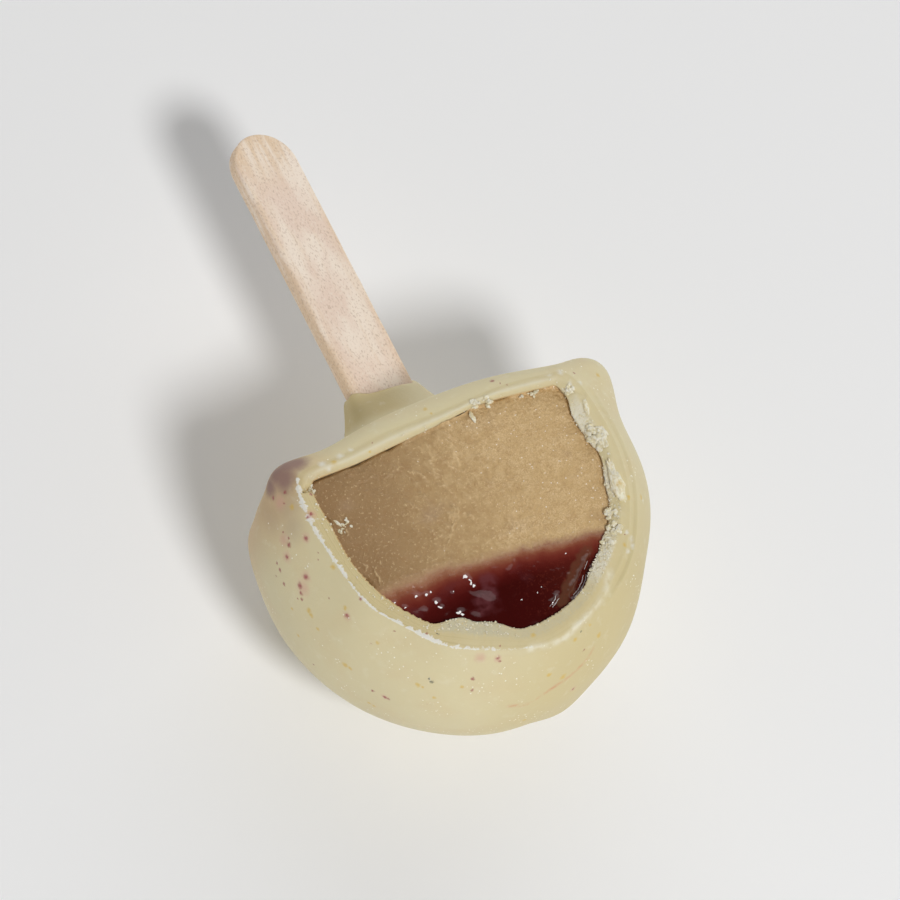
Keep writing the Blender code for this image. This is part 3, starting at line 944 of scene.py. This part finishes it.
# The rings are joined from the ball's underside, over the cut edge, to the bottom of the hollow
coating_points = [Vector((0.0, HEART, min(place[2] for place in rows[0][0])))]
coating_marks = {mark: [0.0] for mark in rows[0][1]}
coating_faces = []
starts = []
for places, marks in rows:
    starts.append(len(coating_points))
    coating_points += [Vector(place) for place in places]
    for mark, values in marks.items():
        coating_marks[mark] += list(values)
first = len(rows[0][0])
coating_faces += [(0, 1 + (i + 1) % first, 1 + i) for i in range(first)]
for start, after, (places, _), (others, _) in zip(starts, starts[1:], rows, rows[1:]):
    if len(places) == len(others):
        coating_faces += ring_faces(start, after, len(places))
    elif len(places) > len(others):
        for i in range(len(others)):
            a, b, c = start + 2 * i, start + 2 * i + 1, start + (2 * i + 2) % len(places)
            d, e = after + i, after + (i + 1) % len(others)
            coating_faces += [(a, b, d), (b, e, d), (b, c, e)]
    else:
        for i in range(len(places)):
            a, b, c = after + 2 * i, after + 2 * i + 1, after + (2 * i + 2) % len(others)
            d, e = start + i, start + (i + 1) % len(places)
            coating_faces += [(b, a, d), (b, d, e), (c, b, e)]
last = len(rows[-1][0])
coating_points.append(Vector((0.0, HEART, bottom)))
for values in coating_marks.values():
    values.append(0.0)
coating_faces += [(starts[-1] + i, starts[-1] + (i + 1) % last, len(coating_points) - 1) for i in range(last)]
for point in coating_points:
    point += BALL_MIDDLE
    point.z = max(point.z, 0.0)
tree = BVHTree.FromPolygons(coating_points, coating_faces)


def spot(across, down):
    """The place on the coating where the camera sees a pixel of the photograph."""
    return tree.ray_cast(eye, sight_line(across, down))[0]


# Pixels of the photograph, and how many pixels wide each crumb shows
BERRY_CRUMBS = (
    (287, 557, 5), (306, 577, 6), (300, 586, 7), (301, 593, 5), (302, 599, 4), (306, 538, 5), (283, 532, 3),
    (289, 538, 3), (298, 599, 2), (329, 598, 2), (277, 563, 4), (385, 697, 5), (388, 699, 4), (373, 691, 4),
    (347, 616, 5), (498, 658, 4), (500, 661, 3), (473, 679, 4), (472, 690, 3), (574, 373, 3),
    (492, 381, 5), (500, 383, 2), (507, 385, 2), (311, 514, 4), (308, 517, 4), (311, 494, 3), (361, 599, 4),
    (427, 633, 3), (318, 553, 2), (318, 559, 2), (285, 492, 4), (273, 498, 4), (284, 503, 3), (372, 443, 2),
    (313, 664, 3), (280, 570, 4), (284, 584, 4), (276, 576, 3), (289, 545, 6), (584, 650, 3), (573, 689, 4),
    (625, 534, 2), (371, 644, 2), (394, 631, 2), (500, 646, 2), (427, 704, 2),
)
PEEL_CRUMBS = (
    (292, 507, 6), (333, 567, 6), (309, 611, 7), (311, 615, 6), (345, 608, 5), (345, 665, 7), (350, 668, 5),
    (318, 629, 5), (298, 635, 5), (418, 685, 6), (423, 687, 4), (369, 703, 5), (374, 706, 5), (334, 462, 6),
    (598, 375, 6), (431, 414, 3), (619, 485, 5), (629, 497, 5), (641, 497, 6), (625, 545, 5), (533, 635, 5),
    (599, 635, 6), (575, 640, 5), (563, 677, 7), (549, 675, 5), (462, 687, 4), (434, 698, 4), (524, 720, 4),
    (378, 643, 4), (292, 609, 4), (590, 625, 4), (425, 409, 5), (370, 452, 4),
)
BLUSHES = (
    (287, 557, 14), (303, 588, 20), (306, 538, 12), (311, 514, 12), (306, 577, 14), (284, 540, 16),
    (480, 658, 13), (498, 659, 9), (347, 616, 10), (385, 697, 10), (573, 689, 9), (280, 503, 18),
)
DARK_CRUMBS = ((429, 679, 3), (432, 682, 4), (581, 632, 2), (438, 634, 2))
STREAK = (((508, 706), (526, 704), (543, 694), (561, 681), (573, 672), (585, 661), (592, 650)), 0.00022)
STAIN_FADE = ((284, 506, 44), (272, 516, 38), (292, 528, 34))
STAIN = ((296, 463, 26), (286, 466, 34), (277, 474, 32), (284, 478, 30), (270, 487, 22))
# White smears on the top band at the left, and painted highlights on the top rim and on the waxy right band:
# pixels and widths
SMEARS_AND_HIGHLIGHTS = (
    (322, 464, 9), (329, 469, 7), (312, 476, 7), (340, 456, 8), (350, 450, 6), (572, 384, 9), (580, 383, 7),
    (627, 532, 5), (560, 372, 8), (548, 374, 8), (631, 539, 7), (632, 546, 7), (643, 501, 6), (628, 551, 6),
)
# A painted highlight: the soft white sheen along the lower right of the cut edge, as pixels along it and its
# width
SHEEN = (((530, 648), (548, 644), (566, 636), (583, 623), (597, 606), (607, 588), (612, 572)), 0.00045)
# Painted highlights: clusters of glints where the coating's satin catches the lamps: pixels and widths
SPARKLES = (
    (390, 655, 46), (404, 664, 26), (512, 702, 30), (528, 679, 36), (433, 709, 26), (540, 644, 24),
    (452, 668, 30), (352, 690, 24), (500, 646, 20),
)
COAT_RELIEF = 0.00008
CRUMB_SHIFT = Vector((0.00035, 0.00035, 0.00035))
FRAY = (0.0007, 0.0007, 0.0007)

COAT = tint(216, 204, 164)
COAT_WARM = tint(212, 192, 148)
COAT_SHEEN = tint(232, 227, 206)
COAT_PAINTED_SHADE = tint(200, 171, 128)
COAT_YELLOW = tint(204, 188, 139)
COLLAR_SHADE_COLOUR = tint(198, 179, 127)
COAT_PALE_AND_HIGHLIGHT = tint(226, 219, 192)
COAT_CUT = tint(206, 190, 144)
COAT_LAYER = tint(184, 168, 116)
INNER_EDGE_SHADE = tint(199, 155, 92)
CHALK = tint(228, 225, 214)
FROST = tint(200, 192, 162)
FROST_WHITE = tint(226, 219, 196)
BERRY_RED = tint(150, 52, 66)
BERRY_BLUSH = tint(208, 154, 140)
PEEL = tint(212, 177, 74)
PEEL_STREAK = tint(206, 152, 112)
HERB = tint(84, 86, 74)
STAIN_COLOUR = tint(135, 101, 97)
SPARKLE = tint(253, 250, 238)

points_grid = np.array([tuple(point) for point in coating_points])
points_grid += 0.0006 * np.stack([waves(points_grid, 0.005, deep) for deep in (20.0, 21.0, 22.0)], axis=1)
for mark, (pixels, width) in (("streak", STREAK), ("sheen", SHEEN)):
    turns_at = [np.array(spot(*pixel)) for pixel in pixels]
    nearest = np.full(len(points_grid), 1.0)
    for start, end in zip(turns_at, turns_at[1:]):
        share = np.clip((points_grid - start) @ (end - start) / ((end - start) @ (end - start)), 0.0, 1.0)
        away = np.linalg.norm(points_grid - start - share[:, None] * (end - start), axis=1)
        nearest = np.minimum(nearest, away)
    coating_marks[mark] = bell(nearest, width) * (nearest < 4 * width)

WAXY = {"Subsurface Radius": (1.0, 0.8, 0.5), "Subsurface Weight": 0.12, "Subsurface Scale": 0.0012}
coat = Finish("white_coating", {"Specular IOR Level": 0.45, **WAXY})
fray = coat.node("TexNoise", None, {"Vector": coat.place, "Scale": 1 / 0.0006, "Detail": 3.0}, "Color")
frayed = coat.vector("ADD", coat.place, coat.vector("MULTIPLY", fray, FRAY))


def crumbs(pixels, core, fade):
    """1 on spots given by pixels and widths, falling to 0 over their blurred edges: crumbs, stains, smears
    and painted highlights.
    """
    nearest = None
    for across, down, width in pixels:
        place = spot(across, down)
        if place is None:
            continue
        away = coat.vector("DISTANCE", frayed, place + CRUMB_SHIFT, "Value") * (2 / (width * PIXEL))
        nearest = away if nearest is None else nearest.least(away)
    return 1 - coat.step(nearest, core, fade)


step = coat.step
cloud = coat.mottle(0.0075, 3.0)
film = coat.mottle(0.0016, 3.0)
grit = coat.mottle(0.00035)
cut, across_cut, chalk_mark, frost_mark, layered, crest, unseen = (
    coat.marked(mark) for mark in ("cut", "across", "chalk", "frost", "layered", "crest", "unseen")
)
along_x = coat.axis("X")
along_y = coat.axis("Y")
# Painted shade: the coating's left side, towards the stick, is painted darker and browner, as shade.
painted_shade = step(cloud * 0.006 - along_x, 0.014, 0.028) * step(along_y, 0.001, 0.011)
# Painted shade: the collar up the stick is painted darker on its left side, where it lies in shade.
collar_shade = step(along_y, 0.0158, 0.0180) * (0.9 - 0.9 * step(along_x, -0.001, 0.005))
layers = coat.mottle(0.10, 3.0, coat.node("CombineXYZ", None, {0: across_cut + film * 0.05}))
cut_colour = coat.painted(
    COAT_CUT,
    (COAT_LAYER, step(layers, 0.5, 0.62) * 0.5 * layered),
    # painted shade: a warm brown down the coating's inner edge and the walls of the gap
    (INNER_EDGE_SHADE, step(across_cut + film * 0.1, 0.96, 1.04) * 0.8),
    # painted highlight along the crest of the rolled top band
    (COAT_PALE_AND_HIGHLIGHT, step(crest + film * 0.3, 0.2, 1.2) * 0.85),
)
frost_colour = coat.painted(FROST, (FROST_WHITE, step(along_x, 0.006, 0.012)))
chalk_share = step(chalk_mark + (grit - 0.5) * 1.5 + (film - 0.5) * 1.5, 0.35, 0.75)
# Painted highlights: tiny bright dots where the satin catches the lamps, in clusters and off the cut
sparkling = step(cloud + film * 0.35, 0.72, 0.80).most(crumbs(SPARKLES, 0.2, 1.4) * step(film, 0.36, 0.46))
sparkle = (1 - step(coat.cells(0.0007), 0.10, 0.20)) * sparkling * (1 - cut)
coat_colour = coat.painted(
    COAT,
    (COAT_WARM, step(cloud, 0.45, 0.7) * 0.35),
    # painted shade on the coating's left side
    (COAT_PAINTED_SHADE, painted_shade * 0.9),
    (COAT_YELLOW, step(along_x * 0.6 - along_y, 0.018, 0.030) * 0.8),
    # painted shade on the left of the collar
    (COLLAR_SHADE_COLOUR, collar_shade),
    (COAT_PALE_AND_HIGHLIGHT, step(film, 0.55, 0.8) * 0.35),
    (STAIN_COLOUR, crumbs(STAIN_FADE, 0.1, 1.5) * 0.22),
    (STAIN_COLOUR, crumbs(STAIN, 0.25, 1.5) * 0.85),
    (cut_colour, cut * (0.4 + 0.6 * layered).most(crest)),
    (frost_colour, frost_mark * step(grit + film * 0.5, 0.5, 0.75)),
    (CHALK, chalk_share * step(chalk_mark, 0.08, 0.25)),
    # painted highlight along the lower right edge
    (COAT_SHEEN, coat.marked("sheen") * step(film, 0.3, 0.6) * 0.8),
    # white smears, and painted highlights on the top rim and the right band
    (CHALK, crumbs(SMEARS_AND_HIGHLIGHTS, 0.0, 1.4) * step(film, 0.3, 0.5) * 0.8),
    (BERRY_BLUSH, crumbs(BLUSHES, 0.0, 1.3) * 0.5),
    (PEEL_STREAK, coat.marked("streak") * step(film + grit * 0.3, 0.40, 0.80)),
    (PEEL, crumbs(PEEL_CRUMBS, 0.0, 1.5) * 0.75),
    (BERRY_RED, crumbs(BERRY_CRUMBS, 0.0, 1.5) * 0.85),
    (HERB, crumbs(DARK_CRUMBS, 0.3, 1.4) * 0.85),
    (PEEL, (1 - step(coat.cells(0.0085, frayed), 0.07, 0.11)) * unseen * 0.8),
    (BERRY_RED, (1 - step(coat.cells(0.0060, frayed), 0.05, 0.085)) * unseen * 0.8),
    (SPARKLE, sparkle * 0.9),
)
coat_rough = 0.5 - sparkle * 0.25 + cut * 0.12 + film * 0.08
coat_height = film * 0.5 + grit * 0.4 + sparkle * 0.5 + frost_mark * grit
coat.wear({"Base Color": coat_colour, "Roughness": coat_rough, "Normal": coat.bump(coat_height, COAT_RELIEF)})
coating = make_piece("dipped_coating", coating_points, coating_faces, coat, coating_marks)
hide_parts("coating")


# Crumbs and flakes of the set coating broke off under the blade and lie where they fell: a clump and a long
# flake at the slice's right edge, and grains frozen on along the rim beside the sauce.
FLAKES = (
    ((609, 465), (615, 484), 0.0009, 0.00060), ((612, 474), (621, 500), 0.0018, 0.00090),
    ((470, 413), (475, 421), 0.0006, 0.00030), ((335, 521), (341, 526), 0.0004, 0.00020),
    ((565, 391), (572, 394), 0.0010, 0.00040), ((584, 402), (586, 416), 0.0007, 0.00040),
)
# Clumps of crumbs: the pixel of their middle, how many, how far they spread, and their size
CLUMPS = (
    ((596, 436), 24, 0.0011, 0.00046), ((590, 431), 8, 0.0006, 0.00034), ((601, 445), 9, 0.0007, 0.00034),
    ((476, 405), 9, 0.0007, 0.00030), ((487, 403), 9, 0.0006, 0.00030), ((568, 391), 8, 0.0007, 0.00026),
    ((610, 513), 9, 0.0008, 0.00036), ((614, 529), 12, 0.0009, 0.00036), ((609, 541), 12, 0.0009, 0.00030),
    ((520, 395), 7, 0.0006, 0.00018), ((533, 392), 9, 0.0008, 0.00020), ((347, 523), 10, 0.0007, 0.00018),
    ((311, 490), 12, 0.0006, 0.00018), ((343, 532), 8, 0.0006, 0.00016),
)
GRAINS = 460
GRAIN_SEED = 7
GRAIN_SIZES = (0.00006, 0.00015)
FLAKE_FACES = 4
GRAIN_FACES = 2
SUNK_IN = 0.35
LOOK_DOWN = 0.02
CRUMB_PALE = tint(240, 233, 210)
CRUMB_CREAM = tint(226, 213, 174)
CRUMB_RELIEF = 0.00012
PEEL_SPOT = (619, 484)


def round_ball(fineness):
    """The points and the faces of a ball made of near equal triangles."""
    ball = bmesh.new()
    bmesh.ops.create_icosphere(ball, subdivisions=fineness, radius=1.0)
    ball.verts.index_update()
    points = [vert.co.copy() for vert in ball.verts]
    faces = [tuple(vert.index for vert in face.verts) for face in ball.faces]
    ball.free()
    return points, faces


BALLS = {fineness: round_ball(fineness) for fineness in (GRAIN_FACES, GRAIN_FACES + 1, FLAKE_FACES)}
crumb_points = []
crumb_faces = []


def lump(place, along, up, sizes, fineness, seed):
    """A ragged lump with its length along a direction, sunk a little into what it lies on."""
    side = up.cross(along).normalized()
    points, faces = BALLS[fineness]
    first = len(crumb_points)
    crumb_faces.extend(tuple(first + corner for corner in face) for face in faces)
    long, wide, tall = sizes
    for point in points:
        rough = 1 + 0.45 * noise.noise(point * 1.3 + Vector((seed, 0, 0)))
        rough += 0.30 * noise.noise(point * 3.2 + Vector((0, seed, 0)))
        x, y, z = point * rough
        crumb_points.append(place + along * (x * long) + side * (y * wide) + up * ((z + SUNK_IN) * tall))


def ground(place):
    """Where a plumb line through a place meets the coating or the filling's face, and the way up there."""
    hit = tree.ray_cast(place + Vector((0, 0, LOOK_DOWN)), Vector((0, 0, -1)))
    return (hit[0], hit[1]) if hit[0] and hit[0].z > place.z - LOOK_DOWN / 8 else (place, Vector((0, 0, 1)))


def pixel_place(pixel, level):
    """The place that a pixel shows at a level above the ball's middle."""
    return Vector((*on_level(*pixel, level), level)) + BALL_MIDDLE


def any_way(up):
    """A chance direction that lies flat on the ground."""
    return up.cross(Vector((chance.random() - 0.5, chance.random() - 0.5, 0.1))).normalized()


for count, (start, end, width, height) in enumerate(FLAKES):
    start, end = pixel_place(start, FACE_LEVEL), pixel_place(end, FACE_LEVEL)
    lie, up = ground((start + end) / 2)
    along = (end - start).normalized()
    sizes = ((end - start).length * 0.6, width / 2, height / 2)
    lump(lie, (along - up * along.dot(up)).normalized(), up, sizes, FLAKE_FACES, 3.7 * count)
chance = np.random.default_rng(GRAIN_SEED)
weights = 0.8 * frosty * (1 - 0.7 * around(columns, 25, 20))
weights = weights + 0.6 * around(columns, 330, 30, 10) + 0.12 * left_zone + 0.05
for count, column in enumerate(chance.choice(COLUMNS, GRAINS, p=weights / weights.sum())):
    share = 1.02 - 0.5 * chance.random() ** 1.6
    reach = edge_reach[column] + (inner[column] - edge_reach[column]) * share
    turn = columns[column]
    place = Vector((reach * math.cos(turn), HEART + reach * math.sin(turn), FACE_LEVEL))
    lie, up = ground(place + BALL_MIDDLE)
    low_size, high_size = GRAIN_SIZES
    size = low_size + (high_size - low_size) * chance.random() ** 2
    lump(lie, any_way(up), up, (1.4 * size, size, 0.55 * size), GRAIN_FACES, 1.3 * count)

for pixel, number, spread, size in CLUMPS:
    middle = pixel_place(pixel, FACE_LEVEL)
    for _ in range(number):
        away = spread * math.sqrt(chance.random())
        turn = 2 * math.pi * chance.random()
        lie, up = ground(middle + Vector((away * math.cos(turn), away * math.sin(turn), 0.0)))
        lie = lie + up * size * 1.2 * chance.random() * (1 - away / spread)
        along = any_way(up)
        wide = size * (0.5 + 0.6 * chance.random())
        lump(lie, along, up, (1.35 * wide, wide, 0.55 * wide), GRAIN_FACES + 1, 50 * chance.random())

crumb_values = {"Roughness": 0.5, "Specular IOR Level": 0.4, **WAXY}
crumb_values.update({"Subsurface Weight": 0.2, "Subsurface Scale": 0.0010})
crumb = Finish("coating_crumbs", crumb_values)
crumb_clouds = crumb.mottle(0.0005, 3.0)
from_peel = crumb.vector("DISTANCE", crumb.place, pixel_place(PEEL_SPOT, SLICE_HEIGHT), "Value")
crumb_colour = crumb.painted(
    CRUMB_CREAM,
    (CRUMB_PALE, crumb.step(crumb_clouds, 0.40, 0.60)),
    (PEEL, 1 - crumb.step(from_peel + crumb_clouds * 0.0003, 0.0004, 0.0009)),
)
crumb.wear({"Base Color": crumb_colour, "Normal": crumb.bump(crumb_clouds, CRUMB_RELIEF)})
crumb_piece = make_piece("coating_crumbs", crumb_points, crumb_faces, crumb)


# The studio: a pale floor under the lolly, a small soft lamp above its lower end, a broad weak one behind
# its stick, and a bright room whose light comes mostly from low down.
FLOOR_SIDE = 6.0
FLOOR_COLOUR = tint(246, 246, 246)
LIGHTS_AWAY = 0.9
KEY_FROM = Vector((-0.02, -0.52, 0.78)).normalized()
KEY_SIDE = 0.20
KEY_POWER = 4.5
FILL_FROM = Vector((0.50, 0.75, 0.45)).normalized()
FILL_SIDE = 1.2
FILL_POWER = 3.2
ROOM_LOW = 0.78
ROOM_HIGH = 0.06
ROOM_BAND = (0.35, 0.75)

half_side = FLOOR_SIDE / 2
floor_mesh = bpy.data.meshes.new("floor")
floor_corners = [(x * half_side, y * half_side, 0.0) for x, y in ((-1, -1), (1, -1), (1, 1), (-1, 1))]
floor_mesh.from_pydata(floor_corners, [], [(0, 1, 2, 3)])
floor = added("floor", floor_mesh)
paper = {"Base Color": FLOOR_COLOUR, "Roughness": 0.9, "Specular IOR Level": 0.1}
floor_mesh.materials.append(Finish("floor_paper", paper).made)


def soft_light(name, towards, side, power):
    """A round light that faces the ball from a direction."""
    light = bpy.data.lights.new(name, "AREA")
    light.shape = "DISK"
    light.size = side
    light.energy = power
    made = added(name, light)
    made.location = BALL_MIDDLE + towards * LIGHTS_AWAY
    made.rotation_euler = towards.to_track_quat("Z", "Y").to_euler()


soft_light("key", KEY_FROM, KEY_SIDE, KEY_POWER)
soft_light("fill", FILL_FROM, FILL_SIDE, FILL_POWER)
room = Finish("room", {"Color": (1.0, 1.0, 1.0, 1.0)}, bpy.data.worlds, "Background", "Generated")
fade = {"Value": room.axis("Z"), "From Min": ROOM_BAND[0], "From Max": ROOM_BAND[1]}
fade.update({"To Min": ROOM_LOW, "To Max": ROOM_HIGH})
room.wear({"Strength": room.node("MapRange", None, fade)})
bpy.context.scene.world = room.made
bpy.context.scene.view_settings.view_transform = "Standard"
